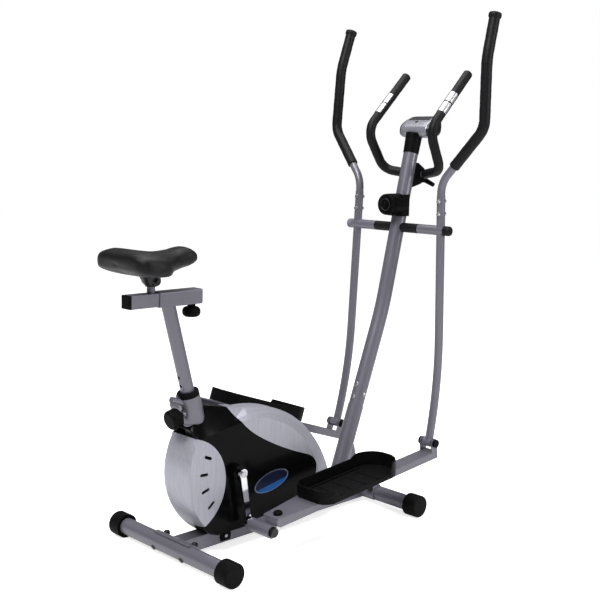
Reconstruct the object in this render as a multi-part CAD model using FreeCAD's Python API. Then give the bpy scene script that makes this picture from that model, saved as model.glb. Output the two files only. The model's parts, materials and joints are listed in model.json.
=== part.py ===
import FreeCAD, Part
import os
from math import atan2, cos, degrees, hypot, radians, sin, sqrt, tan

V = FreeCAD.Vector

# Elliptical trainer with a saddle.  Millimetres, +X towards the handlebars, +Y to the rider's left, +Z up.
# The origin is on the floor, under the middle of the overall box.

# ---- driving dimensions ----
REAR_X = -459.0            # axis of the rear stabilizer
FRONT_X = 325.0            # axis of the front stabilizer
REAR_AXIS_Z = 34.0
FRONT_AXIS_Z = 34.0
STABILIZER_R = 24.0
REAR_HALF = 262.0          # half length over the end caps
FRONT_HALF = 250.0
REAR_CAP_R = 34.6
FRONT_CAP_R = 34.6
CAP_LENGTH = 46.0
STABILIZER_BOLT_Y = 62.0

BEAM_BOTTOM = 14.0
BEAM_TOP = 54.0
BEAM_HALF = 25.0
TUBE_WALL = 2.5

CRANK_X = -282.0
CRANK_Z = 230.0
CRANK_R = 152.0
CRANK_ANGLE = 10.0         # right crank, degrees forward of straight down
CRANK_INNER = 80.0
CRANK_OUTER = 90.0
AXLE_R = 10.0
CRANK_PIN_R = 6.0
CRANK_CAP_R = 13.0
SLEEVE_R = 19.0
SLEEVE_BORE_R = 15.0       # wide on purpose: the linkage is opened at the crank pin
SLEEVE_INNER_Y = 100.0
SLEEVE_OUTER_Y = 185.0

PIVOT_X = 464.0            # cross axle of the swing arms
PIVOT_Z = 893.0
PIVOT_R = 10.0
ARM_Y = 176.0
ARM_R = 13.5
ARM_BORE_R = 11.5
HANDLE_R = 12.7
FOAM_R = 17.0
SOFT_GAP = 0.3
RUN_GAP = 0.05
ARM_FOOT_X = -46.0         # lower joint, seen from the pivot with the arm hanging straight
ARM_FOOT_Z = -686.0
BAR_LENGTH = 716.0         # crank pin to arm joint
BAR_SET = 5.18             # degrees between the pin-to-joint line and the bar
BAR_HALF = 25.0
BAR_LOW = 11.0
BAR_REAR = 6.0
BAR_HIGH = 36.0

COLUMN_R = 24.0
COLUMN_LOWER_SLOPE = 0.37
COLUMN_UPPER_SLOPE = 0.2325
COLUMN_BEND_Z = 629.0
COLUMN_BEND_X = 400.3
COLUMN_BEND_R = 1000.0
COLUMN_TOP_Z = 1140.0
STUB_R = 25.6
STUB_TOP_Z = 320.0
STUB_SPIGOT_TOP_Z = 405.0

SEAT_LEAN = 15.7           # degrees rearward
SEAT_X = -426.5            # seat tube axis at SEAT_Z
SEAT_Z = 521.0
SEAT_TUBE_R = 31.0
SEAT_TUBE_TOP_Z = 458.0
POST_R = 19.0
SEAT_SLEEVE_REAR = -523.0
SEAT_SLEEVE_FRONT = -377.0
SEAT_SLEEVE_LOW = 713.2
SEAT_SLEEVE_HIGH = 754.4
SLIDER_HALF = 17.8
SLIDER_REAR = -612.0
SLIDER_FRONT = -386.0
STEM_X = -538.0
STEM_R = 11.0
SADDLE_REAR = -650.0
SADDLE_NOSE = -391.0
SADDLE_LOW = 805.0

BAR_CLAMP_X = 557.5        # pulse handlebar in its clamp
BAR_CLAMP_Z = 1067.0
HANDLEBAR_R = 11.0
GRIP_R = 15.5

HOUSING_HALF = 57.0
HOUSING_WALL = 3.0
HOUSING_FLOOR = 57.0
REAR_ARC = (-238.5, 235.5, 216.0)      # x, z, radius of the drum's rim
REAR_SIDE_ARC = (-238.5, 235.5, 209.0)     # the same at the flat sides
FRONT_ARC = (-229.0, 14.0, 385.0)      # x, z, radius of the front rim
FRONT_SIDE_ARC = (-239.0, 54.0, 318.0)
DRUM_TOP_X = -421.0        # where the drum's arc ends under the seat tube

PULLEY_R = 105.0
SMALL_PULLEY_R = 17.5
PULLEY_INNER = 35.0
PULLEY_OUTER = 47.0
FLYWHEEL_X = -45.0
FLYWHEEL_Z = 172.0
FLYWHEEL_R = 98.0

Y_AXIS = V(0, 1, 0)
NODES = {}


# ---- helpers ----
def rod(a, b, r):
    """A solid round bar between two points."""
    return Part.makeCylinder(r, (b - a).Length, a, b - a)


def pipe(a, b, outer, inner):
    """A round tube between two points."""
    return rod(a, b, outer).cut(rod(a, b, inner))


def cone(a, b, ra, rb):
    return Part.makeCone(ra, rb, (b - a).Length, a, b - a)


def block(x0, x1, y0, y1, z0, z1):
    return Part.makeBox(x1 - x0, y1 - y0, z1 - z0, V(x0, y0, z0))


def union(shapes):
    first = shapes[0]
    if len(shapes) == 1:
        return first
    return first.fuse(shapes[1:]).removeSplitter()


def mirror_y(shape):
    return shape.mirror(V(0, 0, 0), Y_AXIS)


def both_sides(shape):
    """The shape and its mirror image as one group of separate solids."""
    return Part.makeCompound([shape, mirror_y(shape)])


def bent_path(points, radii):
    """Straight runs joined by tangent arcs; radii has one value for each inner point."""
    edges = []
    start = points[0]
    for i, radius in enumerate(radii):
        corner = points[i + 1]
        before = (corner - points[i]).normalize()
        after = (points[i + 2] - corner).normalize()
        half = before.getAngle(after) / 2
        reach = radius * tan(half)
        inward = (after - before).normalize()
        arc_start = corner - before * reach
        arc_end = corner + after * reach
        arc_mid = corner + inward * (radius / cos(half) - radius)
        edges.append(Part.LineSegment(start, arc_start).toShape())
        edges.append(Part.Arc(arc_start, arc_mid, arc_end).toShape())
        start = arc_end
    edges.append(Part.LineSegment(start, points[-1]).toShape())
    return Part.Wire(edges)


def bent_rod(points, radii, r):
    """A round bar swept along a bent path."""
    path = bent_path(points, radii)
    ring = Part.Wire(Part.makeCircle(r, points[0], points[1] - points[0]))
    return path.makePipeShell([ring], True, False)


def bent_tube(points, radii, outer, inner):
    return bent_rod(points, radii, outer).cut(bent_rod(points, radii, inner))


def plate_xz(points, y0, y1):
    """A flat plate: a polygon of (x, z) points, from y0 to y1."""
    corners = [V(x, y0, z) for x, z in points]
    face = Part.Face(Part.makePolygon(corners + corners[:1]))
    return face.extrude(V(0, y1 - y0, 0))


def turned(shape, degrees_up, about):
    """Turn about the Y direction; positive lifts +X towards +Z."""
    return shape.rotated(about, V(0, -1, 0), degrees_up)


# ---- linkage ----
def crank_pin_point(side):
    """Crank pin centre; side is 1 for the right crank and -1 for the left one."""
    a = radians(CRANK_ANGLE)
    return CRANK_X + side * CRANK_R * sin(a), CRANK_Z - side * CRANK_R * cos(a)


def arm_joint_point(side):
    """Where the bar's front end meets the arm: the two lengths' lower crossing."""
    px, pz = crank_pin_point(side)
    arm = hypot(ARM_FOOT_X, ARM_FOOT_Z)
    dx, dz = PIVOT_X - px, PIVOT_Z - pz
    gap = hypot(dx, dz)
    along = (BAR_LENGTH ** 2 - arm ** 2 + gap ** 2) / (2 * gap)
    across = sqrt(BAR_LENGTH ** 2 - along ** 2)
    ux, uz = dx / gap, dz / gap
    return px + along * ux + across * uz, pz + along * uz - across * ux


def arm_turn(side):
    """Degrees that the hanging arm turns forward to reach its joint."""
    jx, jz = arm_joint_point(side)
    now = atan2(jx - PIVOT_X, PIVOT_Z - jz)
    hanging = atan2(ARM_FOOT_X, -ARM_FOOT_Z)
    return degrees(now - hanging)


def bar_slope(side):
    """The bar's own slope in degrees, up towards the front."""
    px, pz = crank_pin_point(side)
    jx, jz = arm_joint_point(side)
    return degrees(atan2(jz - pz, jx - px)) - BAR_SET


def place_arm(shape, side):
    """From the arm's own frame (pivot at the origin, y outward) to its place."""
    shape = shape if side < 0 else mirror_y(shape)
    shape = shape.translated(V(PIVOT_X, 0, PIVOT_Z))
    return turned(shape, arm_turn(side), V(PIVOT_X, 0, PIVOT_Z))


def place_bar(shape, side):
    """From the bar's own frame (crank pin at the origin, y outward) to its place."""
    shape = shape if side < 0 else mirror_y(shape)
    px, pz = crank_pin_point(side)
    shape = shape.translated(V(px, 0, pz))
    return turned(shape, bar_slope(side), V(px, 0, pz))


# ---- column and seat axes ----
def column_point(z):
    if z < COLUMN_BEND_Z:
        return V(COLUMN_BEND_X + COLUMN_LOWER_SLOPE * (z - COLUMN_BEND_Z), 0, z)
    return V(COLUMN_BEND_X + COLUMN_UPPER_SLOPE * (z - COLUMN_BEND_Z), 0, z)


def seat_point(z):
    return V(SEAT_X - tan(radians(SEAT_LEAN)) * (z - SEAT_Z), 0, z)


SEAT_UP = V(-sin(radians(SEAT_LEAN)), 0, cos(radians(SEAT_LEAN)))
SEAT_BACK = V(-cos(radians(SEAT_LEAN)), 0, -sin(radians(SEAT_LEAN)))


def column_outside(r):
    """The column's outline as a solid of radius r, for cutting neighbours to fit."""
    points = [column_point(60), column_point(COLUMN_BEND_Z), column_point(COLUMN_TOP_Z)]
    return bent_rod(points, [COLUMN_BEND_R], r)


# ---- base ----
def stabilizer_bolt_line(x, z, lean, y):
    """Start, end and direction of the bolt through a stabilizer; lean is 1 at the rear, -1 in front."""
    angle = radians(33)
    direction = V(lean * cos(angle), 0, sin(angle))
    centre = V(x, y, z)
    return centre, direction


def bracket_ring(x, z, lean):
    """The curved plate that hugs a stabilizer, open on the side away from the beam."""
    ring = pipe(V(x, -78, z), V(x, 78, z), STABILIZER_R + 4.2, STABILIZER_R + 0.15)
    centre, direction = stabilizer_bolt_line(x, z, lean, 0)
    cutter = Part.makeBox(200, 200, 200, V(-100, -100, -200))
    cutter.rotate(V(0, 0, 0), V(0, 1, 0), degrees(atan2(direction.x, direction.z)))
    cutter.translate(centre + direction * 8)
    return ring.cut(cutter)


def main_beam():
    outer = block(REAR_X + 20, FRONT_X - 20, -BEAM_HALF, BEAM_HALF, BEAM_BOTTOM, BEAM_TOP)
    inner = block(REAR_X, FRONT_X, -BEAM_HALF + TUBE_WALL, BEAM_HALF - TUBE_WALL,
                  BEAM_BOTTOM + TUBE_WALL, BEAM_TOP - TUBE_WALL)
    body = outer.cut(inner)
    rings = [bracket_ring(REAR_X, REAR_AXIS_Z, 1), bracket_ring(FRONT_X, FRONT_AXIS_Z, -1)]
    body = union([body] + rings)
    for x, z in ((REAR_X, REAR_AXIS_Z), (FRONT_X, FRONT_AXIS_Z)):
        body = body.cut(rod(V(x, -100, z), V(x, 100, z), STABILIZER_R + 0.15))
    return body.cut(frame_bolt_holes())


def stabilizer(x, z, half):
    tube = pipe(V(x, -half + 6, z), V(x, half - 6, z), STABILIZER_R, STABILIZER_R - TUBE_WALL)
    return tube.cut(frame_bolt_holes())


def end_caps(x, z, half, r):
    """Two rubber-like caps with a flat on the floor."""
    cap = rod(V(x, half - CAP_LENGTH, z), V(x, half, z), r)
    cap = cap.makeFillet(5, [e for e in cap.Edges if abs(e.CenterOfMass.y - half) < 1])
    cap = cap.cut(rod(V(x, half - CAP_LENGTH - 1, z), V(x, half - 5.5, z), STABILIZER_R + 0.1))
    cap = cap.cut(block(x - 50, x + 50, 0, 400, -10, 0))
    return both_sides(cap)


def frame_bolt_lines():
    lines = []
    for x, z, lean in ((REAR_X, REAR_AXIS_Z, 1), (FRONT_X, FRONT_AXIS_Z, -1)):
        for y in (-STABILIZER_BOLT_Y, STABILIZER_BOLT_Y):
            lines.append(stabilizer_bolt_line(x, z, lean, y))
    return lines


def frame_bolt_holes():
    holes = [rod(c - d * 40, c + d * 40, 4.2) for c, d in frame_bolt_lines()]
    return Part.makeCompound(holes)


def column_bolt_lines():
    """Two bolts through the joint from the rear and one from the right side."""
    lean = V(COLUMN_LOWER_SLOPE, 0, 1).normalize()
    across = V(-lean.z, 0, lean.x)
    return [(column_point(382), across), (column_point(342), across), (column_point(356), V(0, -1, 0))]


def frame_bolts():
    """Black carriage bolts with cap nuts on the stabilizers."""
    solids = []
    for c, d in frame_bolt_lines():
        shank = rod(c - d * 26, c + d * 30, 4.0)
        head = cone(c - d * 27, c - d * 24.2, 6, 9)
        nut = rod(c + d * 28.4, c + d * 35, 9.5)
        dome = cone(c + d * 35, c + d * 41, 9.5, 4)
        solids.append(union([shank, head, nut, dome]))
    return Part.makeCompound(solids)


# ---- column ----
def column_base():
    """The lower stub with its gusset, welded to the beam; the column sits on it over a spigot."""
    bottom = column_point(20)
    stub = rod(bottom, column_point(STUB_TOP_Z), STUB_R)
    spigot = rod(bottom, column_point(STUB_SPIGOT_TOP_Z), COLUMN_R - TUBE_WALL - 0.1)
    gusset = plate_xz([(215, BEAM_TOP), (295.5, BEAM_TOP), (293, 140), (281, 187), (264, 214), (248, 214)], -4, 4)
    body = union([stub, spigot, gusset]).cut(rod(bottom, column_point(420), COLUMN_R - 2 * TUBE_WALL))
    body = body.cut(block(0, 400, -100, 100, -50, BEAM_TOP + 0.01))
    for c, d in column_bolt_lines():
        body = body.cut(rod(c, c + d * 40, 3.6))
    return body


def column():
    points = [column_point(STUB_TOP_Z + 0.05), column_point(COLUMN_BEND_Z), column_point(COLUMN_TOP_Z)]
    body = bent_tube(points, [COLUMN_BEND_R], COLUMN_R, COLUMN_R - TUBE_WALL)
    body = body.cut(rod(V(PIVOT_X, -60, PIVOT_Z), V(PIVOT_X, 60, PIVOT_Z), PIVOT_R + 0.05))
    for c, d in column_bolt_lines():
        body = body.cut(rod(c, c + d * 40, 3.6))
    return body


def column_neck():
    body = cone(column_point(1134), column_point(1198), 25.5, 27.5)
    body = body.cut(plate_xz(console_profile(), -64, 64))
    return body.cut(rod(column_point(1120), column_point(COLUMN_TOP_Z + 0.2), COLUMN_R + 0.05))


def cross_axle():
    return rod(V(PIVOT_X, -203, PIVOT_Z), V(PIVOT_X, 203, PIVOT_Z), PIVOT_R)


def axle_trim():
    """Black spacer sleeves beside the column and the end caps of the cross axle."""
    spacer = rod(V(PIVOT_X, 5, PIVOT_Z), V(PIVOT_X, 90, PIVOT_Z), 15.6)
    spacer = spacer.cut(column_outside(COLUMN_R + 0.05))
    spacer = max(spacer.Solids, key=lambda s: s.BoundBox.YMax)
    spacer = spacer.cut(rod(V(PIVOT_X, 0, PIVOT_Z), V(PIVOT_X, 300, PIVOT_Z), PIVOT_R + 0.05))
    cap = rod(V(PIVOT_X, 192.3, PIVOT_Z), V(PIVOT_X, 215, PIVOT_Z), 15.5)
    cap = cap.makeFillet(6, [e for e in cap.Edges if abs(e.CenterOfMass.y - 215) < 0.5])
    cap = cap.cut(rod(V(PIVOT_X, 190, PIVOT_Z), V(PIVOT_X, 203.2, PIVOT_Z), PIVOT_R + 0.05))
    return Part.makeCompound([spacer, mirror_y(spacer), cap, mirror_y(cap)])


# ---- drive inside the housing ----
def drive_support():
    """Crank bearing shell and flywheel fork, on plates that stand on the beam."""
    shell = pipe(V(CRANK_X, -33, CRANK_Z), V(CRANK_X, 33, CRANK_Z), 25, 21.05)
    solids = []
    for y in (-22, 18):
        foot = [(-256, BEAM_TOP), (-206, BEAM_TOP), (-250, CRANK_Z - 5), (-278, CRANK_Z - 10)]
        plate = plate_xz(foot, y, y + 4)
        solids.append(plate)
    crank_part = union([shell] + solids)
    crank_part = crank_part.cut(rod(V(CRANK_X, -34, CRANK_Z), V(CRANK_X, 34, CRANK_Z), 21.05))
    fork = []
    for y in (-31, 27):
        outline = [(FLYWHEEL_X - 34, BEAM_TOP), (FLYWHEEL_X + 34, BEAM_TOP),
                   (FLYWHEEL_X + 14, FLYWHEEL_Z + 16), (FLYWHEEL_X - 14, FLYWHEEL_Z + 16)]
        plate = plate_xz(outline, y, y + 4)
        hole = rod(V(FLYWHEEL_X, -60, FLYWHEEL_Z), V(FLYWHEEL_X, 60, FLYWHEEL_Z), 8.05)
        fork.append(plate.cut(hole))
    px, pz = BRACKET_PIN
    for y in (-19, 15):
        fork.append(plate_xz([(px - 14, BEAM_TOP), (px + 18, BEAM_TOP), (px + 7, pz + 7), (px - 7, pz + 7)],
                             y, y + 4))
    fork.append(rod(V(px, -19, pz), V(px, 19, pz), BRACKET_PIN_R))
    fork.append(block(px - 14, FLYWHEEL_X + 40, -31, 31, BEAM_TOP, BEAM_TOP + 3))
    return Part.makeCompound([crank_part, union(fork)])


def crank_bearings():
    ring = pipe(V(CRANK_X, 20, CRANK_Z), V(CRANK_X, 33, CRANK_Z), 21, AXLE_R + RUN_GAP)
    return both_sides(ring)


def belt_loop(extra):
    """The outline round both pulleys, grown outward by extra, as a face at the belt's inner side."""
    big = PULLEY_R + extra
    small = SMALL_PULLEY_R + extra
    dx, dz = FLYWHEEL_X - CRANK_X, FLYWHEEL_Z - CRANK_Z
    gap = hypot(dx, dz)
    heading = atan2(dz, dx)
    open_angle = atan2(sqrt(gap ** 2 - (big - small) ** 2), big - small)

    def on_circle(cx, cz, r, a):
        return V(cx + r * cos(a), PULLEY_INNER + 1, cz + r * sin(a))

    a1, a2 = heading + open_angle, heading - open_angle
    big_top = on_circle(CRANK_X, CRANK_Z, big, a1)
    big_low = on_circle(CRANK_X, CRANK_Z, big, a2)
    big_back = on_circle(CRANK_X, CRANK_Z, big, heading + radians(180))
    small_top = on_circle(FLYWHEEL_X, FLYWHEEL_Z, small, a1)
    small_low = on_circle(FLYWHEEL_X, FLYWHEEL_Z, small, a2)
    small_front = on_circle(FLYWHEEL_X, FLYWHEEL_Z, small, heading)
    edges = [Part.Arc(big_low, big_back, big_top).toShape(),
             Part.LineSegment(big_top, small_top).toShape(),
             Part.Arc(small_top, small_front, small_low).toShape(),
             Part.LineSegment(small_low, big_low).toShape()]
    return Part.Face(Part.Wire(edges))


def drive_belt():
    width = V(0, PULLEY_OUTER - PULLEY_INNER - 2, 0)
    return belt_loop(3.3).extrude(width).cut(belt_loop(0.3).extrude(width))


BRACKET_PIN = (-158.0, 186.0)       # x, z of the magnet bracket's pin
BRACKET_PIN_R = 4.0


def magnet_bracket():
    """A curved bracket round the rear of the flywheel's rim; it swings on a pin at its lower end."""
    x, z = FLYWHEEL_X, FLYWHEEL_Z
    ring = pipe(V(x, -14, z), V(x, 14, z), FLYWHEEL_R + 14, FLYWHEEL_R + 5)
    keep = plate_xz([(x, z), (x - 200, z + 30), (x - 130, z + 160), (x - 30, z + 150)], -20, 20)
    px, pz = BRACKET_PIN
    eye = rod(V(px, -14, pz), V(px, 14, pz), 9)
    body = union([ring.common(keep), eye])
    body = body.cut(rod(V(x, -20, z), V(x, 20, z), FLYWHEEL_R + 5))
    return body.cut(rod(V(px, -20, pz), V(px, 20, pz), BRACKET_PIN_R + RUN_GAP))


def flywheel():
    """Cast flywheel with its spindle and small pulley."""
    centre = FLYWHEEL_X, FLYWHEEL_Z

    def disc(y0, y1, r):
        return rod(V(centre[0], y0, centre[1]), V(centre[0], y1, centre[1]), r)

    rim = disc(-14, 14, FLYWHEEL_R).cut(disc(-14, -5, FLYWHEEL_R - 22)).cut(disc(5, 14, FLYWHEEL_R - 22))
    hub = disc(-20, 20, 20)
    spindle = disc(-36, 50, 8)
    pulley = disc(PULLEY_INNER, PULLEY_OUTER, SMALL_PULLEY_R)
    return union([rim, hub, spindle, pulley])


def crank_pulley():
    def disc(y0, y1, r):
        return rod(V(CRANK_X, y0, CRANK_Z), V(CRANK_X, y1, CRANK_Z), r)

    wheel = disc(PULLEY_INNER, PULLEY_OUTER, PULLEY_R)
    wheel = wheel.cut(disc(PULLEY_INNER, PULLEY_INNER + 4, PULLEY_R - 12))
    wheel = wheel.cut(disc(PULLEY_OUTER - 4, PULLEY_OUTER, PULLEY_R - 12))
    for k in range(5):
        a = radians(72 * k)
        x, z = CRANK_X + 60 * cos(a), CRANK_Z + 60 * sin(a)
        wheel = wheel.cut(rod(V(x, PULLEY_INNER - 1, z), V(x, PULLEY_OUTER + 1, z), 22))
    hub = disc(PULLEY_INNER, PULLEY_OUTER, 24)
    return union([wheel, hub]).cut(disc(0, 80, AXLE_R + 0.02))


def crank_axle():
    return rod(V(CRANK_X, -96, CRANK_Z), V(CRANK_X, 96, CRANK_Z), AXLE_R)


def crank_arm(side):
    """Chromed crank: a hub, a tapered bar and the pin's boss."""
    px, pz = crank_pin_point(side)
    y0, y1 = -side * CRANK_INNER, -side * CRANK_OUTER
    hub = rod(V(CRANK_X, -side * 78, CRANK_Z), V(CRANK_X, -side * 92, CRANK_Z), 14)
    boss = rod(V(px, y0, pz), V(px, -side * 92, pz), 11)
    ux, uz = (px - CRANK_X) / CRANK_R, (pz - CRANK_Z) / CRANK_R
    wide, narrow = 10.5, 8.5
    outline = [(CRANK_X + uz * wide, CRANK_Z - ux * wide), (px + uz * narrow, pz - ux * narrow),
               (px - uz * narrow, pz + ux * narrow), (CRANK_X - uz * wide, CRANK_Z + ux * wide)]
    bar = plate_xz(outline, min(y0, y1), max(y0, y1))
    body = union([hub, bar, boss])
    body = body.cut(rod(V(CRANK_X, -100, CRANK_Z), V(CRANK_X, 100, CRANK_Z), AXLE_R + 0.02))
    return body.cut(rod(V(px, -120, pz), V(px, 120, pz), CRANK_PIN_R + 0.02))


def crank_pins():
    """The two crank pins with an inner washer and an outer cap."""
    solids = []
    for side in (1, -1):
        px, pz = crank_pin_point(side)
        s = -side
        shaft = rod(V(px, s * CRANK_INNER, pz), V(px, s * 190, pz), CRANK_PIN_R)
        washer = rod(V(px, s * 92.2, pz), V(px, s * 98, pz), 12)
        cap = rod(V(px, s * 186.5, pz), V(px, s * 196, pz), CRANK_CAP_R)
        solids.append(union([shaft, washer, cap]))
    return Part.makeCompound(solids)


# ---- swing arms, in the arm's own frame ----
def lower_arm(side):
    y = ARM_Y
    half_drop = ARM_FOOT_Z / 2
    sagitta_r = (half_drop ** 2 + ARM_FOOT_X ** 2) / (2 * abs(ARM_FOOT_X))
    turn = atan2(abs(half_drop), sagitta_r + ARM_FOOT_X)
    start = V(0, y, half_drop)
    mid = V(-sagitta_r * (1 - cos(turn / 2)), y, half_drop - sagitta_r * sin(turn / 2))
    end = V(ARM_FOOT_X, y, ARM_FOOT_Z)
    path = Part.Wire([Part.LineSegment(V(0, y, ARM_SOCKET_TOP), start).toShape(),
                      Part.Arc(start, mid, end).toShape()])

    def sweep(r):
        ring = Part.Wire(Part.makeCircle(r, V(0, y, ARM_SOCKET_TOP), V(0, 0, -1)))
        return path.makePipeShell([ring], True, False)

    hub = rod(V(0, 90.5, 0), V(0, 191.8, 0), 15.6)
    foot = rod(end + V(0, -17, 0), end + V(0, 17, 0), 14.5)
    body = union([sweep(ARM_R), hub, foot]).cut(sweep(ARM_BORE_R))
    body = union([body, pipe(V(0, 150, 0), V(0, 191, 0), 15.6, PIVOT_R + RUN_GAP),
                  pipe(end + V(0, -17, 0), end + V(0, 17, 0), 14.5, 6 + RUN_GAP)])
    body = body.cut(rod(V(0, 80, 0), V(0, 200, 0), PIVOT_R + RUN_GAP))
    body = body.cut(rod(end + V(0, -30, 0), end + V(0, 30, 0), 6 + RUN_GAP))
    body = body.cut(arm_bolt_holes())
    return place_arm(body, side)


ARM_BOLT_HEIGHTS = (52, 92)
ARM_SOCKET_TOP = 110.0


def arm_bolt_holes():
    holes = [rod(V(-30, ARM_Y, z), V(30, ARM_Y, z), 4.1) for z in ARM_BOLT_HEIGHTS]
    return Part.makeCompound(holes)


def arm_bolts(side):
    solids = []
    for z in ARM_BOLT_HEIGHTS:
        shank = rod(V(-15, ARM_Y, z), V(15, ARM_Y, z), 4.0)
        head = cone(V(-ARM_R - 0.1, ARM_Y, z), V(-ARM_R - 4.5, ARM_Y, z), 7, 5)
        nut = rod(V(ARM_R + 0.1, ARM_Y, z), V(ARM_R + 6.5, ARM_Y, z), 6.5)
        solids.append(union([shank, head, nut]))
    return place_arm(Part.makeCompound(solids), side)


def handle_points(top_extra):
    """The handle's centre line above its socket."""
    y = ARM_Y
    top = V(66, y + 142, 662)
    middle = V(26, y + 143, 525)
    rise = (top - middle).normalize()
    return [V(0, y, 18), V(0, y, 150), V(20, y + 143.5, 318), middle, top + rise * top_extra]


HANDLE_BENDS = [90.0, 75.0, 200.0]


def handle(side):
    points = handle_points(-4)
    body = bent_rod(points, HANDLE_BENDS, HANDLE_R)
    plug_zone = pipe(V(0, ARM_Y, 10), V(0, ARM_Y, ARM_SOCKET_TOP + 0.3), 30, ARM_BORE_R - 0.1)
    body = body.cut(plug_zone).cut(bent_rod(points, HANDLE_BENDS, HANDLE_R - TUBE_WALL))
    return place_arm(body.cut(arm_bolt_holes()), side)


def handle_grip(side):
    """Foam over the handle, closed at the top by a wider rim."""
    points = handle_points(0)
    rise = (points[-1] - points[-2]).normalize()
    outer = union([bent_rod(points, HANDLE_BENDS, FOAM_R), rod(points[-1] - rise * 12, points[-1], FOAM_R + 2.5)])
    core = bent_rod(handle_points(-3.5), HANDLE_BENDS, HANDLE_R + SOFT_GAP)
    body = outer.cut(core)
    rising = (V(20, 143.5, 318) - V(0, 0, 150)).normalize()
    edge = V(5.5, ARM_Y + 46, 204)
    cutter = Part.makeBox(400, 400, 400, V(-200, -200, -400))
    cutter.Placement = FreeCAD.Placement(edge, FreeCAD.Rotation(V(0, 0, 1), rising))
    body = body.cut(cutter)
    body = max(body.Solids, key=lambda s: s.Volume)
    return place_arm(body, side)


# ---- foot bars, in the bar's own frame ----
def joint_in_bar():
    return BAR_LENGTH * cos(radians(BAR_SET)), BAR_LENGTH * sin(radians(BAR_SET))


CHEEK_IN = 20.5
CHEEK_OUT = 24.5


def foot_bar(side):
    ju, jw = joint_in_bar()
    y = ARM_Y
    outer = block(BAR_REAR, ju + 14, y - BAR_HALF, y + BAR_HALF, BAR_LOW, BAR_HIGH)
    long_edges = [e for e in outer.Edges if e.Length > 500]
    outer = outer.makeFillet(3, long_edges)
    inner = block(BAR_REAR + 3, ju + 11, y - BAR_HALF + TUBE_WALL, y + BAR_HALF - TUBE_WALL,
                  BAR_LOW + TUBE_WALL, BAR_HIGH - TUBE_WALL)
    sleeve = rod(V(0, SLEEVE_INNER_Y, 0), V(0, SLEEVE_OUTER_Y, 0), SLEEVE_R)
    parts = [outer, sleeve]
    for s in (-1, 1):
        y0 = min(y + s * CHEEK_IN, y + s * CHEEK_OUT)
        cheek = plate_xz([(ju - 15, BAR_HIGH - 5), (ju + 14, BAR_HIGH - 5), (ju + 14, jw), (ju - 15, jw)],
                         y0, y0 + CHEEK_OUT - CHEEK_IN)
        eye = rod(V(ju, y0, jw), V(ju, y0 + CHEEK_OUT - CHEEK_IN, jw), 14.5)
        parts += [cheek, eye]
    deck = Part.Face(Part.makePolygon([V(8, y - 34, BAR_HIGH - 1), V(190, y - 60, BAR_HIGH - 1),
                                       V(190, y + 40, BAR_HIGH - 1), V(8, y + 24.9, BAR_HIGH - 1),
                                       V(8, y - 34, BAR_HIGH - 1)])).extrude(V(0, 0, 4))
    web = block(-10, 60, SLEEVE_INNER_Y + 12, y - BAR_HALF + 1, BAR_LOW, BAR_LOW + 5)
    parts += [deck, web]
    body = union(parts).cut(inner)
    body = union([body, sleeve])
    body = body.cut(rod(V(0, SLEEVE_INNER_Y - 1, 0), V(0, SLEEVE_OUTER_Y + 1, 0), SLEEVE_BORE_R))
    body = body.cut(rod(V(0, SLEEVE_OUTER_Y, 0), V(0, y + 40, 0), CRANK_CAP_R + SLEEVE_BORE_R - CRANK_PIN_R))
    body = body.cut(rod(V(ju, y - 40, jw), V(ju, y + 40, jw), 6.05))
    return place_bar(body, side)


def foot_bar_pivot(side):
    """The bolt through the arm's foot with its black caps, and the plug on the bar's top."""
    ju, jw = joint_in_bar()
    y = ARM_Y
    shaft = rod(V(ju, y - 30, jw), V(ju, y + 30, jw), 6.0)
    caps = [rod(V(ju, y + s * 24.6, jw), V(ju, y + s * 33, jw), 13) for s in (-1, 1)]
    plug = rod(V(34, y - 2, BAR_HIGH + 3.05), V(34, y - 2, BAR_HIGH + 12), 13)
    plug = plug.makeFillet(4, [e for e in plug.Edges if e.CenterOfMass.z > BAR_HIGH + 11])
    return place_bar(Part.makeCompound([union([shaft] + caps), plug]), side)


PLATE_REAR = 157.0
PLATE_FRONT = 502.0
PLATE_HALF = 70.0
PLATE_LOW = BAR_HIGH + 3.1
PLATE_WALL_TOP = PLATE_LOW + 38.0
PLATE_FRONT_TOP = PLATE_LOW + 47.0
PLATE_STEP_TOP = PLATE_LOW + 11.0


def plate_outline(inset, z):
    """Foot plate seen from above: a long tray with a rounder front."""
    y = ARM_Y
    x0, x1 = PLATE_REAR + inset, PLATE_FRONT - inset
    y0, y1 = y - PLATE_HALF + inset, y + PLATE_HALF - inset
    rear_r = 38.0 - inset
    front_r = 62.0 - inset
    k = 1 - cos(radians(45))
    p = [V(x0, y0 + rear_r, z), V(x0 + k * rear_r, y0 + k * rear_r, z), V(x0 + rear_r, y0, z),
         V(x1 - front_r, y0, z), V(x1 - k * front_r, y0 + k * front_r, z), V(x1, y0 + front_r, z),
         V(x1, y1 - front_r, z), V(x1 - k * front_r, y1 - k * front_r, z), V(x1 - front_r, y1, z),
         V(x0 + rear_r, y1, z), V(x0 + k * rear_r, y1 - k * rear_r, z), V(x0, y1 - rear_r, z)]
    edges = []
    for i in (0, 3, 6, 9):
        edges.append(Part.Arc(p[i], p[i + 1], p[i + 2]).toShape())
        edges.append(Part.LineSegment(p[i + 2], p[(i + 3) % 12]).toShape())
    return Part.Face(Part.Wire(edges))


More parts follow.
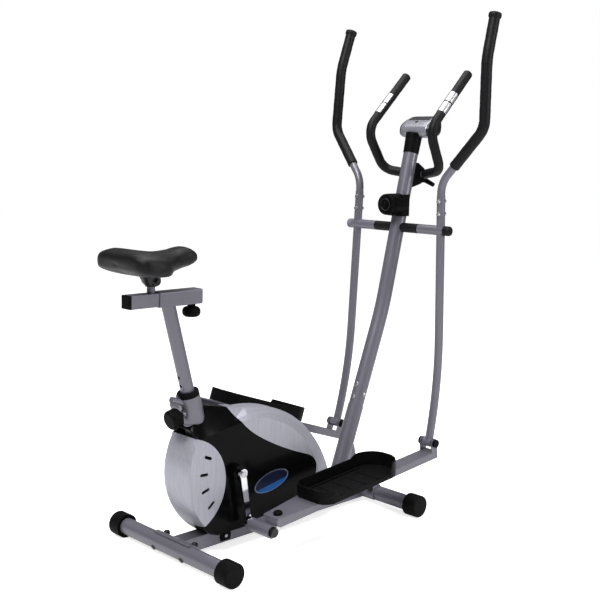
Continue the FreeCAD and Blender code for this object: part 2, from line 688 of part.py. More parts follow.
def foot_plate(side):
    """Black tray: tall wall inside, at the rear and in front, a low lip on the outer side."""
    y = ARM_Y
    outer = plate_outline(0, PLATE_LOW).extrude(V(0, 0, PLATE_FRONT_TOP - PLATE_LOW))
    far = y + PLATE_HALF + 10
    top_cut = plate_xz([(PLATE_REAR - 10, PLATE_WALL_TOP), (PLATE_FRONT - 90, PLATE_WALL_TOP),
                        (PLATE_FRONT - 70, PLATE_FRONT_TOP), (PLATE_FRONT - 70, 200), (PLATE_REAR - 10, 200)],
                       y - PLATE_HALF - 10, far)
    outer = outer.cut(top_cut)
    inner = plate_outline(4, PLATE_LOW + 5).extrude(V(0, 0, 80))
    tray = outer.cut(inner)
    step = plate_xz([(PLATE_REAR + 62, PLATE_STEP_TOP), (PLATE_FRONT - 66, PLATE_STEP_TOP),
                     (PLATE_FRONT - 50, PLATE_FRONT_TOP + 5), (PLATE_REAR + 46, PLATE_FRONT_TOP + 5),
                     (PLATE_REAR + 46, PLATE_WALL_TOP - 4)], y + PLATE_HALF - 30, far)
    tray = tray.cut(step)
    ribs = [block(PLATE_REAR + 40, PLATE_FRONT - 70, y - PLATE_HALF + 16, y - PLATE_HALF + 20,
                  PLATE_LOW + 4.5, PLATE_LOW + 9)]
    for x in (PLATE_REAR + 80, PLATE_REAR + 135, PLATE_REAR + 190, PLATE_REAR + 245):
        ribs.append(block(x, x + 4, y - 40, y + 50, PLATE_LOW + 4.5, PLATE_LOW + 6.5))
    return place_bar(union([tray] + ribs), side)


# ---- seat ----
def seat_tube():
    low = seat_point(30)
    top = seat_point(SEAT_TUBE_TOP_Z)
    body = union([rod(low, top, SEAT_TUBE_R), rod(seat_point(373), seat_point(386), SEAT_TUBE_R + 1.6),
                  cone(V(-430, 0, 441), V(-469, 0, 455), 11, 8.5), pin_boss()])
    body = body.cut(rod(low, top + SEAT_UP * 5, SEAT_TUBE_R - 4))
    body = body.cut(rod(top, top + SEAT_UP * 20, SEAT_TUBE_R + 1.5))
    body = body.cut(block(-500, -200, -60, 60, 0, BEAM_TOP + 0.01))
    return body.cut(rod(pin_axis(0), pin_axis(60), 4.6))


def pin_axis(distance):
    """A point on the pull pin's axis, measured from the seat tube's axis."""
    return seat_point(417) + SEAT_BACK * distance


def pin_boss():
    return rod(pin_axis(20), pin_axis(36), 11)


def pin_knob():
    """Sprung pull pin with its round black knob."""
    pin = rod(pin_axis(POST_R + 0.4), pin_axis(46), 4.5)
    neck = rod(pin_axis(40), pin_axis(48), 9)
    knob = rod(pin_axis(47), pin_axis(82), 28)
    knob = knob.makeFillet(9, [e for e in knob.Edges if len(e.Vertexes) == 1])
    return union([pin, neck, knob])


def seat_tube_collar():
    """Black guide in the top of the seat tube."""
    top = seat_point(SEAT_TUBE_TOP_Z)
    body = rod(top + SEAT_UP * 0.05, top + SEAT_UP * 14, SEAT_TUBE_R - 0.3)
    body = body.makeFillet(3, [e for e in body.Edges if e.CenterOfMass.z > (top + SEAT_UP * 12).z])
    body = union([body, rod(top - SEAT_UP * 24, top + SEAT_UP * 1, SEAT_TUBE_R - 4.1)])
    return body.cut(rod(top - SEAT_UP * 30, top + SEAT_UP * 20, POST_R + 0.1))


def seat_post():
    """Seat post with its holes and the square sleeve for the slider."""
    post = pipe(seat_point(270), seat_point(735), POST_R, POST_R - 2.5)
    holes = []
    for k in range(-4, 5):
        c = pin_axis(0) + SEAT_UP * (26 * k)
        holes.append(rod(c, c + SEAT_BACK * 30, 4.8))
    post = post.cut(Part.makeCompound(holes))
    post = post.cut(block(-600, -300, -40, 40, SEAT_SLEEVE_LOW + 1, 800))
    y = (SEAT_SLEEVE_HIGH - SEAT_SLEEVE_LOW) / 2
    sleeve = block(SEAT_SLEEVE_REAR, SEAT_SLEEVE_FRONT, -y, y, SEAT_SLEEVE_LOW, SEAT_SLEEVE_HIGH)
    sleeve = sleeve.makeFillet(4.5, [e for e in sleeve.Edges if e.CenterOfMass.x > -460])
    w = TUBE_WALL
    bore = block(SEAT_SLEEVE_REAR - 1, SEAT_SLEEVE_FRONT - w, -y + w, y - w,
                 SEAT_SLEEVE_LOW + w, SEAT_SLEEVE_HIGH - w)
    body = union([post, sleeve]).cut(bore)
    return body.cut(rod(V(-402, 0, 700), V(-402, 0, 720), 5.1))


def slider_tube():
    """The saddle's square slider with its upright stem."""
    mid = (SEAT_SLEEVE_LOW + SEAT_SLEEVE_HIGH) / 2
    h = SLIDER_HALF
    outer = block(SLIDER_REAR, SLIDER_FRONT, -h, h, mid - h, mid + h)
    inner = block(SLIDER_REAR - 1, SLIDER_FRONT + 1, -h + 2.5, h - 2.5, mid - h + 2.5, mid + h - 2.5)
    stem = rod(V(STEM_X, 0, mid + h - 1), V(STEM_X, 0, SADDLE_LOW - 4), STEM_R)
    return union([outer.cut(inner), stem])


def slider_end_cap():
    mid = (SEAT_SLEEVE_LOW + SEAT_SLEEVE_HIGH) / 2
    h = SLIDER_HALF
    plate = block(SLIDER_REAR - 8, SLIDER_REAR - 0.05, -h, h, mid - h, mid + h)
    plate = plate.makeFillet(3, [e for e in plate.Edges if e.CenterOfMass.x < SLIDER_REAR - 7])
    plug = block(SLIDER_REAR - 1, SLIDER_REAR + 18, -h + 2.6, h - 2.6, mid - h + 2.6, mid + h - 2.6)
    return union([plate, plug])


def slider_knob():
    """Screw knob under the sleeve."""
    stem = rod(V(-402, 0, 700), V(-402, 0, SEAT_SLEEVE_LOW + 2.3), 5.0)
    collar = rod(V(-402, 0, 704), V(-402, 0, SEAT_SLEEVE_LOW - 0.3), 11)
    head = rod(V(-402, 0, 677), V(-402, 0, 705), 25)
    head = head.makeFillet(12, [e for e in head.Edges if len(e.Vertexes) == 1])
    return union([stem, collar, head])


def saddle_clamp():
    """Black saddle clamp round the stem, with its cross bolt and cradle under the saddle."""
    sleeve = rod(V(STEM_X, 0, 770), V(STEM_X, 0, 792), 15.5)
    cross = rod(V(STEM_X, -26, 786), V(STEM_X, 26, 786), 13)
    bolt = rod(V(STEM_X, -34, 786), V(STEM_X, 34, 786), 6)
    cradle = cone(V(STEM_X - 2, 0, 801.5), V(STEM_X, 0, 776), 32, 19)
    body = union([sleeve, cross, bolt, cradle])
    return body.cut(rod(V(STEM_X, 0, 740), V(STEM_X, 0, 806.1), STEM_R + 0.05))


def saddle_section(x, half, low, high, dip):
    """One cross section of the saddle: full sides and a slightly dished top."""
    middle = (low + high) / 2
    points = []
    for k in range(20):
        a = radians(18 * k - 90)
        across = abs(cos(a)) ** 0.75 * (1 if cos(a) > 0 else -1)
        upward = abs(sin(a)) ** 0.75 * (1 if sin(a) > 0 else -1)
        if k in (0, 10):
            across = 0.0
        dish = dip * max(0.0, 1 - (across / 0.6) ** 2) if upward > 0 else 0.0
        points.append(V(x, half * across, middle + (high - low) / 2 * upward - dish))
    curve = Part.BSplineCurve()
    curve.interpolate(points, PeriodicFlag=True)
    return Part.Wire(curve.toShape())


def saddle():
    """Wide padded saddle, broad at the rear with a short nose."""
    length = SADDLE_NOSE - SADDLE_REAR
    low = SADDLE_LOW
    stations = [(0.0, 62, low + 17, 852, 0), (0.03, 84, low + 10, 860, 1), (0.09, 104, low + 3, 866, 3),
                (0.22, 118, low, 867, 6), (0.36, 113, low, 862, 6), (0.48, 92, low, 858, 5),
                (0.6, 64, low + 3, 857, 3), (0.75, 42, low + 10, 861, 1), (0.9, 33, low + 20, 865, 0),
                (0.97, 27, low + 24, 864, 0), (1.0, 19, low + 28, 859, 0)]
    rings = [saddle_section(SADDLE_REAR + t * length, half, z0, z1, dip)
             for t, half, z0, z1, dip in stations]
    return Part.makeLoft(rings, True, True)


# ---- pulse handlebar ----
BAR_TIP = V(639, 128, 1396)
BAR_BEND = V(446, 131, 1207)
BAR_CORNER = V(524, 120, 1080)
BAR_ALONG = (BAR_TIP - BAR_BEND).normalize()


def handlebar_points(cut_back):
    """Centre line from one tip, round the clamp, to the other tip."""
    inner = V(BAR_CLAMP_X, 30, BAR_CLAMP_Z)
    half = [BAR_TIP - BAR_ALONG * cut_back, BAR_BEND, BAR_CORNER, inner]
    return half + [V(p.x, -p.y, p.z) for p in reversed(half)]


HANDLEBAR_BENDS = [60.0, 50.0, 36.0, 36.0, 50.0, 60.0]


def handlebar_tube():
    points = handlebar_points(6)
    return bent_tube(points, HANDLEBAR_BENDS, HANDLEBAR_R, HANDLEBAR_R - 2)


def handlebar_grips():
    """Foam over both sides, closed at the tips and open at the clamp."""
    outer = bent_rod(handlebar_points(0), HANDLEBAR_BENDS, GRIP_R)
    core = bent_rod(handlebar_points(5), HANDLEBAR_BENDS, HANDLEBAR_R + SOFT_GAP)
    body = outer.cut(core).cut(block(400, 800, -26, 26, 1000, 1500))
    return body.cut(sensor_plates(0.4))


SENSOR_SPANS = ((76, 118), (123, 165))
SENSOR_OFFSET = 10.0
SENSOR_REACH = 17.0


def sensor_plates(extra):
    """Two curved plates on each grip, facing up and outward; extra widens them for the foam's recess."""
    outward = V(-BAR_ALONG.z, 0, BAR_ALONG.x) * cos(radians(25)) + V(0, 1, 0) * sin(radians(25))
    plates = []
    for start, end in SENSOR_SPANS:
        low = BAR_BEND + BAR_ALONG * (start - extra)
        high = BAR_BEND + BAR_ALONG * (end + extra)
        ring = pipe(low, high, GRIP_R + 1.1 + extra, GRIP_R - 1.4 - extra)
        zone = rod(low + outward * SENSOR_OFFSET, high + outward * SENSOR_OFFSET, SENSOR_REACH + extra)
        plate = ring.common(zone)
        plates += [plate, mirror_y(plate)]
    return Part.makeCompound(plates)


def pulse_sensors():
    return sensor_plates(0)


def handlebar_clamp():
    """Black clamp on the column's front that holds the pulse handlebar."""
    body = plate_xz([(500, 1104), (534, 1104), (566, 1086), (578, 1070), (574, 1046), (548, 1034),
                     (500, 1022)], -21, 21)
    body = body.cut(column_outside(COLUMN_R + 0.05))
    body = max(body.Solids, key=lambda s: s.BoundBox.XMax)
    bore = rod(V(BAR_CLAMP_X, -40, BAR_CLAMP_Z), V(BAR_CLAMP_X, 40, BAR_CLAMP_Z), HANDLEBAR_R + RUN_GAP)
    body = body.cut(bore)
    return body.cut(rod(V(560, 0, CLAMP_KNOB_Z), V(600, 0, CLAMP_KNOB_Z), 4.05))


CLAMP_KNOB_Z = 1050.0


def clamp_knob():
    """T lever that tightens the clamp."""
    z = CLAMP_KNOB_Z
    stud = rod(V(574.5, 0, z), V(590, 0, z), 4)
    hub = rod(V(578.5, 0, z), V(597, 0, z), 12)
    lever = cone(V(589, 0, z), V(589, -44, z - 18), 9, 7)
    tail = cone(V(589, 0, z), V(589, 24, z + 9), 8, 6)
    return union([stud, hub, lever, tail])


# ---- console and tension dial ----
def console_profile():
    """Side outline of the pod, its corners cut away twice."""
    points = [(519, 1204), (528, 1184), (592, 1186), (606, 1208), (604, 1249), (589, 1262), (528, 1232)]
    for _ in range(2):
        softer = []
        for (x0, z0), (x1, z1) in zip(points, points[1:] + points[:1]):
            softer += [(0.75 * x0 + 0.25 * x1, 0.75 * z0 + 0.25 * z1), (0.25 * x0 + 0.75 * x1, 0.25 * z0 + 0.75 * z1)]
        points = softer
    return points


CONSOLE_CENTRE = (563.0, 1222.0)
CONSOLE_SECTIONS = ((-64, 0.60), (-60, 0.82), (-50, 0.96), (-38, 1.0), (38, 1.0), (50, 0.96), (60, 0.82), (64, 0.60))


def console_shell():
    cx, cz = CONSOLE_CENTRE
    wires = []
    for y, size in CONSOLE_SECTIONS:
        ring = [V(cx + (x - cx) * size, y, cz + (z - cz) * size) for x, z in console_profile()]
        wires.append(Part.makePolygon(ring + ring[:1]))
    body = Part.makeLoft(wires, True, True)
    body = body.cut(tilted_block(19.9, 53.1, -44.1, 44.1, -3.1, 30))
    return body.cut(button_block(0.35))


def on_console_top(x, y, up):
    """A point on the console's sloping top: x and y run over it, up stands off it."""
    low, high = V(534, 0, 1232), V(588, 0, 1258)
    along = (high - low).normalize()
    normal = V(-along.z, 0, along.x)
    return low + along * x + V(0, y, 0) + normal * up


def tilted_block(x0, x1, y0, y1, up0, up1):
    body = block(x0, x1, y0, y1, up0, up1)
    slope = degrees(atan2(26, 54))
    body.rotate(V(0, 0, 0), V(0, -1, 0), slope)
    return body.translated(V(534, 0, 1232))


def console_screen_block(grow):
    return tilted_block(20 - grow, 53 + grow, -44 - grow, 44 + grow, -3 - grow, 1.2 + grow)


def console_screen():
    return console_screen_block(0)


def button_block(grow):
    base = on_console_top(10, 0, -4 - grow)
    tip = on_console_top(10, 0, 3)
    return rod(base, tip, 5.5 + grow)


def mode_button():
    return rod(on_console_top(10, 0, -2.2), on_console_top(10, 0, 2.2), 5.5)


DIAL_X = 398.0
DIAL_Z = 968.0


def dial_housing():
    """Black housing of the tension control, wrapped round the column."""
    barrel = rod(V(DIAL_X + 15, 0, DIAL_Z), V(478, 0, DIAL_Z), 35)
    wrap = block(446, 488, -31, 31, DIAL_Z - 38, DIAL_Z + 32)
    wrap = wrap.makeFillet(8, [e for e in wrap.Edges if abs(e.CenterOfMass.z - DIAL_Z + 3) < 1])
    body = union([barrel, wrap]).cut(column_outside(COLUMN_R + 0.05))
    body = max(body.Solids, key=lambda s: s.Volume)
    return body.cut(rod(V(DIAL_X, 0, DIAL_Z), V(DIAL_X + 30, 0, DIAL_Z), 4.05))


def tension_dial():
    face = rod(V(DIAL_X, 0, DIAL_Z), V(DIAL_X + 14.6, 0, DIAL_Z), 34)
    face = face.makeFillet(3, [e for e in face.Edges if e.CenterOfMass.x < DIAL_X + 1])
    spindle = rod(V(DIAL_X + 10, 0, DIAL_Z), V(DIAL_X + 29, 0, DIAL_Z), 4)
    pointer = block(DIAL_X - 2, DIAL_X + 2, -2, 2, DIAL_Z - 12, DIAL_Z + 12)
    return union([face, spindle, pointer])


# ---- housing ----
def between(first, second, share):
    return [p + (q - p) * share for p, q in zip(first, second)]


def housing_outline(share, y):
    """Side outline at depth y: the rim's at share 0, the flat side's at share 1."""
    rx, rz, rr = between(REAR_ARC, REAR_SIDE_ARC, share)
    fx, fz, fr = between(FRONT_ARC, FRONT_SIDE_ARC, share)
    floor = HOUSING_FLOOR
    back_low = V(rx - sqrt(rr ** 2 - (floor - rz) ** 2), y, floor)
    back_mid = V(rx - rr, y, rz)
    drum_top = V(DRUM_TOP_X, y, rz + sqrt(rr ** 2 - (DRUM_TOP_X - rx) ** 2))
    crest = V(fx, y, fz + fr)
    a = radians(45)
    front_mid = V(fx + fr * cos(a), y, fz + fr * sin(a))
    front_low = V(fx + sqrt(fr ** 2 - (floor - fz) ** 2), y, floor)
    edges = [Part.Arc(back_low, back_mid, drum_top).toShape(),
             Part.LineSegment(drum_top, crest).toShape(),
             Part.Arc(crest, front_mid, front_low).toShape(),
             Part.LineSegment(front_low, back_low).toShape()]
    return Part.Wire(edges)


def horn(shrink):
    """The shroud's raised ridge that runs from the crest up to the seat tube."""
    # x, ridge height, half width of the ridge, height at the flat sides
    sections = [(-421, 368, 26, 344), (-405, 388, 22, 346), (-380, 422, 10, 349), (-345, 421, 11, 355),
                (-300, 412, 18, 362), (-250, 403, 24, 367), (-205, 390, 22, 362)]
    wires = []
    for x, top, half, side in sections:
        h = HOUSING_HALF - shrink
        w = max(half - shrink, 4)
        top = top - 1.3 * shrink
        side = side - shrink
        corners = [V(x, -h, 300), V(x, -h, side), V(x, -w, top), V(x, w, top), V(x, h, side), V(x, h, 300)]
        wires.append(Part.makePolygon(corners + corners[:1]))
    return Part.makeLoft(wires, True, True)


def housing_solid(shrink):
    """The whole housing body, shrunk on every side by the wall for its inside."""
    bands = [(1.0, 57), (0.5, 48), (0.15, 37), (0.0, 22)]
    bands = [(share, y - shrink) for share, y in bands]
    bands = [(share, -y) for share, y in bands] + [(share, y) for share, y in reversed(bands)]
    solids = []
    for (i0, y0), (i1, y1) in zip(bands, bands[1:]):
        solids.append(Part.makeLoft([housing_wire(i0, y0, shrink), housing_wire(i1, y1, shrink)], True, True))
    return union(solids + [horn(shrink)])


def housing_wire(share, y, shrink):
    wire = housing_outline(share, y)
    if shrink == 0:
        return wire
    return wire.makeOffset2D(-shrink)


def front_boundary():
    """Edge of the black shroud under the front covers, from the top seam down to the floor."""
    return [V(-292, 0, 440), V(-284, 0, 404), V(-257, 0, 365), V(-183, 0, 309), V(-90, 0, 262),
            V(-5, 0, 228), V(34, 0, 208), V(48, 0, 184), V(42, 0, 140), V(26, 0, 90), V(14, 0, 20)]


def front_region():
    """Everything in front of that edge."""
    curve = Part.BSplineCurve()
    curve.interpolate(front_boundary())
    first, last = front_boundary()[0], front_boundary()[-1]
    edges = [curve.toShape(), Part.LineSegment(last, V(300, 0, last.z)).toShape(),
             Part.LineSegment(V(300, 0, last.z), V(300, 0, first.z)).toShape(),
             Part.LineSegment(V(300, 0, first.z), first).toShape()]
    face = Part.Face(Part.Wire(edges))
    return face.translated(V(0, -100, 0)).extrude(V(0, 200, 0))


def rear_region():
    """A disc across the drum's rear."""
    return rod(V(-455, -100, 214), V(-455, 100, 214), 137)


def shell_openings():
    """What passes through the housing: the crank axle, the seat tube and the drive's supports."""
    return union([rod(V(CRANK_X, -90, CRANK_Z), V(CRANK_X, 90, CRANK_Z), 11.5),
                  rod(seat_point(20), seat_point(480), SEAT_TUBE_R + 1.7),
                  block(-352, 70, -34, 34, 40, HOUSING_FLOOR + HOUSING_WALL + 1)])


def housing_shell():
    return housing_solid(0).cut(housing_solid(HOUSING_WALL)).cut(shell_openings())


def half_of(shape, side):
    """The right (1) or left (-1) half, a hair short of the middle."""
    gap = 0.05
    if side > 0:
        return shape.common(block(-600, 400, -100, -gap, 0, 600))
    return shape.common(block(-600, 400, gap, 100, 0, 600))


def shroud(shell, side):
    """One black half with its boss round the crank axle."""
    y0, y1 = -side * (HOUSING_HALF - HOUSING_WALL + 1), -side * (CRANK_INNER - 3.5)
    boss = pipe(V(CRANK_X, y0, CRANK_Z), V(CRANK_X, y1, CRANK_Z), 22, 11.5)
    return union([half_of(shell.cut(front_region()).cut(rear_region()), side), boss])


def vent_slots():
    """Four slots in each drum cover, in a curve behind the shroud's edge."""
    slots = []
    for x, z, tilt in ((-383, 288, -24), (-397, 242, -4), (-391, 195, 16), (-370, 150, 40)):
        slot = block(-14, 14, -100, 100, -4.4, 4.4)
        slot = slot.makeFillet(4, [e for e in slot.Edges if abs(e.CenterOfMass.y) < 1])
        slots.append(turned(slot, tilt, V(0, 0, 0)).translated(V(x, 0, z)))
    return Part.makeCompound(slots)


def covers(body):
    """Right and left half as one group."""
    return Part.makeCompound([half_of(body, 1), half_of(body, -1)])


def badges():
    """A plain raised oval on each side of the shroud."""
    oval = Part.Face(Part.Wire(Part.Ellipse(V(0, 0, 0), 70, 29).toShape()))
    oval.rotate(V(0, 0, 0), V(1, 0, 0), 90)
    oval = turned(oval, 10, V(0, 0, 0)).translated(V(-142, HOUSING_HALF + 0.05, 172))
    left = oval.extrude(V(0, 2.2, 0))
    return both_sides(left)


def silver_screws():
    """The column's three bolts, and the housing's screws on its left side."""
    solids = []
    for c, d in column_bolt_lines():
        shank = rod(c + d * 10, c + d * 26, 3.5)
        head = cone(c + d * (COLUMN_R + 0.3), c + d * (COLUMN_R + 5), 8, 5)
        solids.append(union([shank, head]))
    for x, z in ((-330, 84), (-120, 84), (-232, 300)):
        head = cone(V(x, HOUSING_HALF + 0.05, z), V(x, HOUSING_HALF + 1.8, z), 5, 4)
        solids.append(head)
    return Part.makeCompound(solids)


def build_all():
    NODES["main_beam"] = main_beam()
    NODES["rear_stabilizer"] = stabilizer(REAR_X, REAR_AXIS_Z, REAR_HALF)
    NODES["front_stabilizer"] = stabilizer(FRONT_X, FRONT_AXIS_Z, FRONT_HALF)
    NODES["rear_end_caps"] = end_caps(REAR_X, REAR_AXIS_Z, REAR_HALF, REAR_CAP_R)
    NODES["front_end_caps"] = end_caps(FRONT_X, FRONT_AXIS_Z, FRONT_HALF, FRONT_CAP_R)
    NODES["frame_bolts"] = frame_bolts()
    NODES["column_base"] = column_base()
    NODES["column"] = column()
    NODES["column_neck"] = column_neck()
    NODES["cross_axle"] = cross_axle()
    NODES["axle_trim"] = axle_trim()
    NODES["drive_support"] = drive_support()
    NODES["crank_bearings"] = crank_bearings()
    NODES["drive_belt"] = drive_belt()
    NODES["magnet_bracket"] = magnet_bracket()
    NODES["flywheel"] = flywheel()
    NODES["crank_pulley"] = crank_pulley()
    NODES["crank_axle"] = crank_axle()
    NODES["crank_pins"] = crank_pins()
    for name, side in (("right", 1), ("left", -1)):
        NODES[name + "_crank"] = crank_arm(side)
        NODES[name + "_lower_arm"] = lower_arm(side)
        NODES[name + "_arm_bolts"] = arm_bolts(side)
        NODES[name + "_handle"] = handle(side)
        NODES[name + "_grip"] = handle_grip(side)
        NODES[name + "_foot_bar"] = foot_bar(side)
        NODES[name + "_bar_pivot"] = foot_bar_pivot(side)
        NODES[name + "_foot_plate"] = foot_plate(side)
    NODES["seat_tube"] = seat_tube()
    NODES["seat_tube_collar"] = seat_tube_collar()
    NODES["pin_knob"] = pin_knob()
    NODES["seat_post"] = seat_post()
    NODES["slider_tube"] = slider_tube()
    NODES["slider_end_cap"] = slider_end_cap()
    NODES["slider_knob"] = slider_knob()
    NODES["saddle_clamp"] = saddle_clamp()
    NODES["saddle"] = saddle()
    NODES["handlebar_tube"] = handlebar_tube()
    NODES["handlebar_grips"] = handlebar_grips()
    NODES["pulse_sensors"] = pulse_sensors()
    NODES["handlebar_clamp"] = handlebar_clamp()
    NODES["clamp_knob"] = clamp_knob()
    NODES["console_shell"] = console_shell()
    NODES["console_screen"] = console_screen()
    NODES["mode_button"] = mode_button()
    NODES["dial_housing"] = dial_housing()
    NODES["tension_dial"] = tension_dial()
    shell = housing_shell()
    NODES["shroud_right"] = shroud(shell, 1)
    NODES["shroud_left"] = shroud(shell, -1)
    NODES["rear_covers"] = covers(shell.common(rear_region()).cut(vent_slots()))
    NODES["front_covers"] = covers(shell.common(front_region()))
    NODES["badges"] = badges()
    NODES["silver_screws"] = silver_screws()


build_all()
os.makedirs("parts", exist_ok=True)
for node, shape in NODES.items():
    shape.exportStep("parts/" + node + ".step")
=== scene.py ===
import json
from math import cos, pi, radians, sin, sqrt

import bmesh
import bpy
from mathutils import Matrix, Vector


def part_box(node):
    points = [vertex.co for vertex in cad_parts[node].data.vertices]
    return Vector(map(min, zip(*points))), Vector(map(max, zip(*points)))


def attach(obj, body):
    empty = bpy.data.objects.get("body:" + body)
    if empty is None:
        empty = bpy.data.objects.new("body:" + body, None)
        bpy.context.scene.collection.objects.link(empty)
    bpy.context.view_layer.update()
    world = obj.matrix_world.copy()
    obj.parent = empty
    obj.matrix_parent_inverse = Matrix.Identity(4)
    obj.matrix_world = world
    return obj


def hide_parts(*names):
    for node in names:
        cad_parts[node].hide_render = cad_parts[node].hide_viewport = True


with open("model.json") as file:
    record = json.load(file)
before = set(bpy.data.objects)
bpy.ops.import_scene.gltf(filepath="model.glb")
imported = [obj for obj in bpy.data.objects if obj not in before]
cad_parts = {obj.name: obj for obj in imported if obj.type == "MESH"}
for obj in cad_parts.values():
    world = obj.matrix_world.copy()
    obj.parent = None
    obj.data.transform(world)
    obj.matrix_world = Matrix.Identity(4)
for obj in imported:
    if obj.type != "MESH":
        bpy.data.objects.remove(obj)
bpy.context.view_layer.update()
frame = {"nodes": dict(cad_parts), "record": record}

V = Vector
WHITE = (1.0, 1.0, 1.0)


# ---- camera and light ----
CAMERA_PLACE = (-2.121, -2.122, 1.119)
CAMERA_YAW, CAMERA_PITCH, CAMERA_ROLL = radians(-44.9), radians(7.9), radians(1.4)
CAMERA_SENSOR = 36.0
CAMERA_LENS = 60.61
CAMERA_SHIFT = (0.0088, -0.0078)
CAMERA_REACH = 100.0

# name, place, target, size and power
LIGHTS = [
    ("key", (-3.4, -0.6, 4.6), (0.0, 0.0, 0.6), (2.0, 2.0), 215),
    ("side", (1.4, -3.2, 2.0), (0.0, 0.0, 0.6), (1.0, 2.2), 55),
    ("top", (0.2, 0.3, 3.8), (0.0, 0.0, 0.5), (2.6, 2.6), 95),
]

ROOM_LOW = (0.30, 0.30, 0.31)
ROOM_MIDDLE, ROOM_MIDDLE_AT = (0.42, 0.42, 0.43), 0.35
ROOM_HIGH_AT = 0.9
ROOM_STRENGTH = 0.42


def make_camera():
    """The camera, set by its yaw, pitch and roll."""
    data = bpy.data.cameras.new("camera")
    data.sensor_width = CAMERA_SENSOR
    data.lens = CAMERA_LENS
    data.shift_x, data.shift_y = CAMERA_SHIFT
    data.clip_end = CAMERA_REACH
    camera = bpy.data.objects.new("camera", data)
    bpy.context.collection.objects.link(camera)
    level = cos(CAMERA_PITCH)
    forward = V((-sin(CAMERA_YAW) * level, cos(CAMERA_YAW) * level, -sin(CAMERA_PITCH)))
    right = V((cos(CAMERA_YAW), sin(CAMERA_YAW), 0.0))
    up = right.cross(forward)
    tilted_right = right * cos(CAMERA_ROLL) + up * sin(CAMERA_ROLL)
    tilted_up = up * cos(CAMERA_ROLL) - right * sin(CAMERA_ROLL)
    turn = Matrix((tilted_right, tilted_up, -forward)).transposed()
    camera.matrix_world = Matrix.Translation(V(CAMERA_PLACE)) @ turn.to_4x4()
    bpy.context.scene.camera = camera


def make_lights():
    """Soft rectangular lights, each aimed at the trainer."""
    for name, place, target, size, power in LIGHTS:
        data = bpy.data.lights.new(name, "AREA")
        data.shape = "RECTANGLE"
        data.size, data.size_y = size
        data.energy = power
        light = bpy.data.objects.new(name, data)
        bpy.context.collection.objects.link(light)
        aim = (V(target) - V(place)).to_track_quat("-Z", "Y")
        light.matrix_world = Matrix.Translation(V(place)) @ aim.to_matrix().to_4x4()


def make_world():
    """A white backdrop for the camera and a dimmer room for everything else."""
    world = bpy.data.worlds.new("studio")
    bpy.context.scene.world = world
    world.use_nodes = True
    nodes, links = world.node_tree.nodes, world.node_tree.links
    coords = nodes.new("ShaderNodeTexCoord")
    split = nodes.new("ShaderNodeSeparateXYZ")
    ramp = nodes.new("ShaderNodeValToRGB")
    stops = ramp.color_ramp.elements
    stops[0].position, stops[0].color = 0.0, (*ROOM_LOW, 1)
    stops[1].position, stops[1].color = ROOM_HIGH_AT, (*WHITE, 1)
    middle = stops.new(ROOM_MIDDLE_AT)
    middle.color = (*ROOM_MIDDLE, 1)
    links.new(coords.outputs["Generated"], split.inputs[0])
    links.new(split.outputs["Z"], ramp.inputs[0])
    room = nodes["Background"]
    room.inputs["Strength"].default_value = ROOM_STRENGTH
    links.new(ramp.outputs[0], room.inputs["Color"])
    backdrop = nodes.new("ShaderNodeBackground")
    backdrop.inputs["Color"].default_value = (*WHITE, 1)
    backdrop.inputs["Strength"].default_value = 1.0
    ray = nodes.new("ShaderNodeLightPath")
    mix = nodes.new("ShaderNodeMixShader")
    links.new(ray.outputs["Is Camera Ray"], mix.inputs[0])
    links.new(room.outputs[0], mix.inputs[1])
    links.new(backdrop.outputs[0], mix.inputs[2])
    links.new(mix.outputs[0], nodes["World Output"].inputs["Surface"])
    bpy.context.scene.view_settings.view_transform = "Standard"


# ---- procedural materials ----
COLOUR_DETAIL = 4.0
COLOUR_RANGE = (0.3, 0.7)      # of the noise, from the dark colour to the light one
GRAIN_DETAIL = 3.0
RELIEF_DEPTH = 0.001
BLACK_PAINT = (0.004, 0.004, 0.005)


